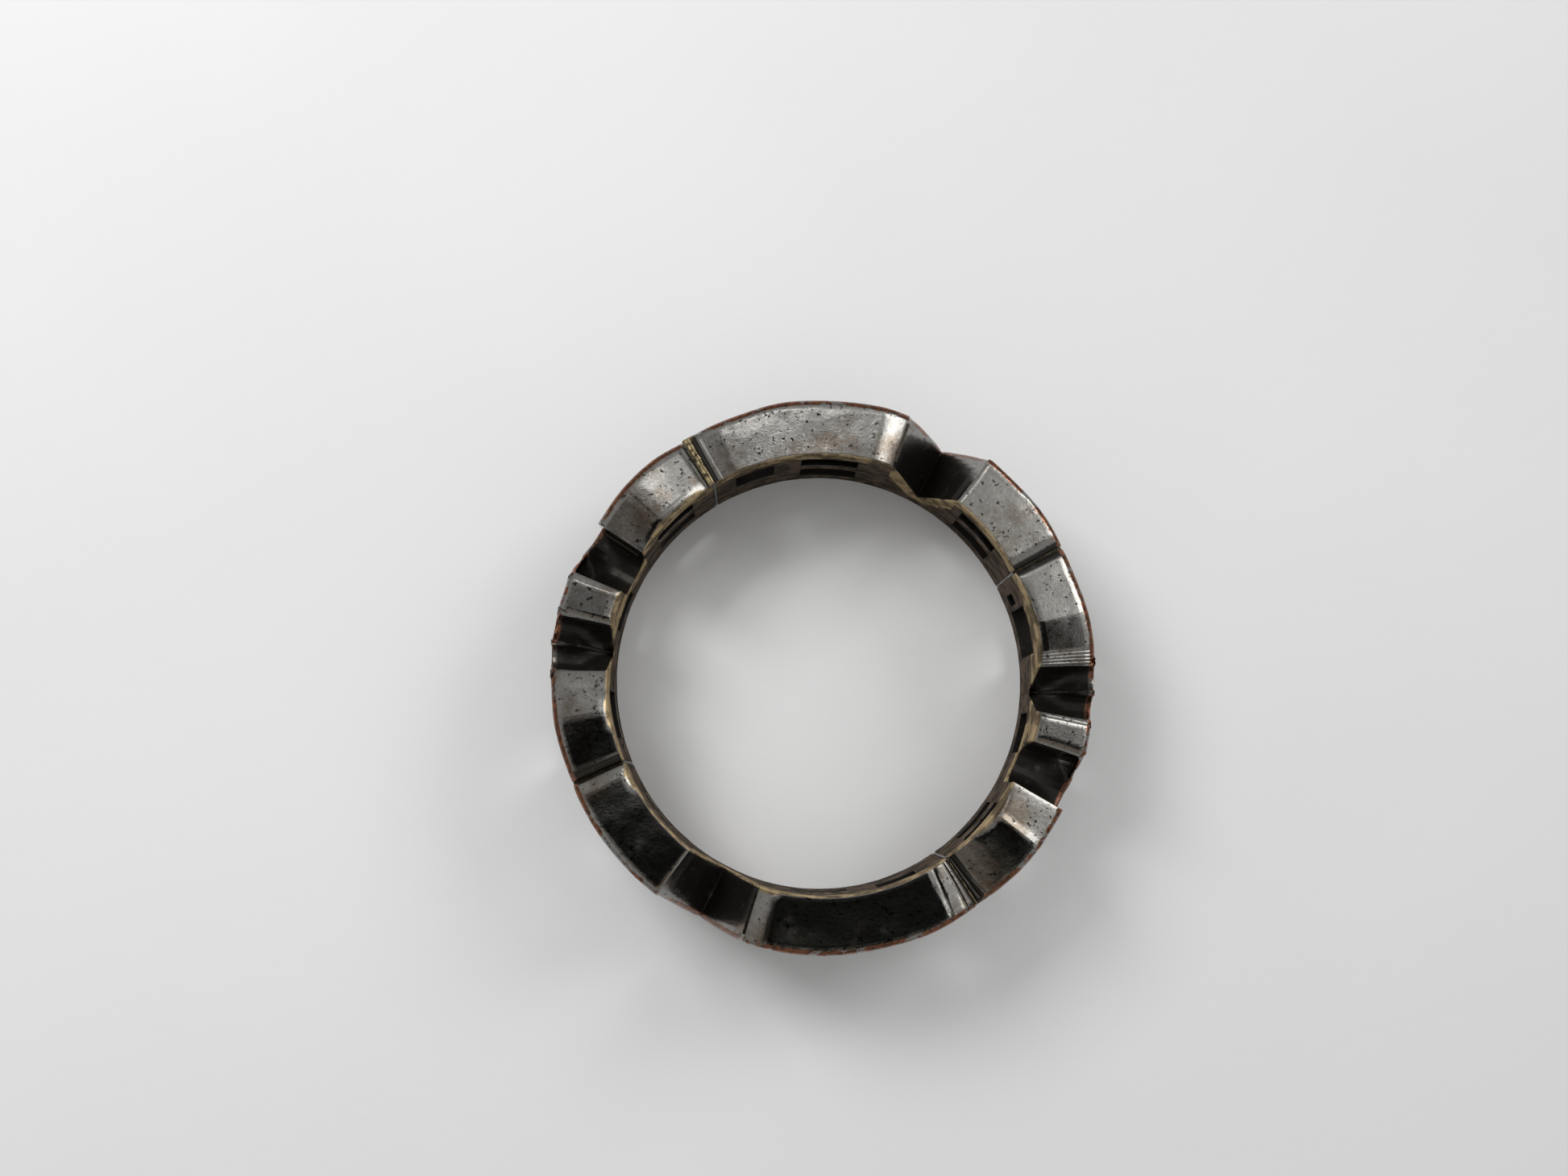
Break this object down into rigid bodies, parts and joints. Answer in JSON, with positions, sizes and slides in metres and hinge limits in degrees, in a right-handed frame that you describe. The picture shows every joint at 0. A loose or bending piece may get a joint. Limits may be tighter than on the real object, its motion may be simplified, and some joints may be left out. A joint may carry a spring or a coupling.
{
  "type": "band ring",
  "caption": "Rigid openwork band ring for a finger or a key bundle, cast blocks soldered edge to edge, dark polished metal with a notched upper rim.",
  "frame": {"origin": "on the bore's axis, at the plain lower rim that the ring lies on", "axes": "+Z along the bore axis, from the plain lower rim to the notched upper rim; +Y through the long land of long_block_1"},
  "size_m": [0.025, 0.025, 0.0065],
  "materials": {
    "gunmetal": "polished black-nickel plating over a copper alloy, worn to copper and brass along the rims",
    "solder": "satin brazing solder"
  },
  "bodies": {
    "root": {"valley_block_1": "gunmetal", "long_block_1": "gunmetal", "shoulder_block_1": "gunmetal", "peak_block_1": "gunmetal", "dome_block_1": "gunmetal", "square_block_1": "gunmetal", "valley_block_2": "gunmetal", "long_block_2": "gunmetal", "shoulder_block_2": "gunmetal", "peak_block_2": "gunmetal", "dome_block_2": "gunmetal", "square_block_2": "gunmetal", "solder_seam_1": "solder", "solder_seam_2": "solder", "solder_seam_3": "solder", "solder_seam_4": "solder", "solder_seam_5": "solder", "solder_seam_6": "solder", "solder_seam_7": "solder", "solder_seam_8": "solder", "solder_seam_9": "solder", "solder_seam_10": "solder", "solder_seam_11": "solder", "solder_seam_12": "solder"}
  },
  "joints": []
}
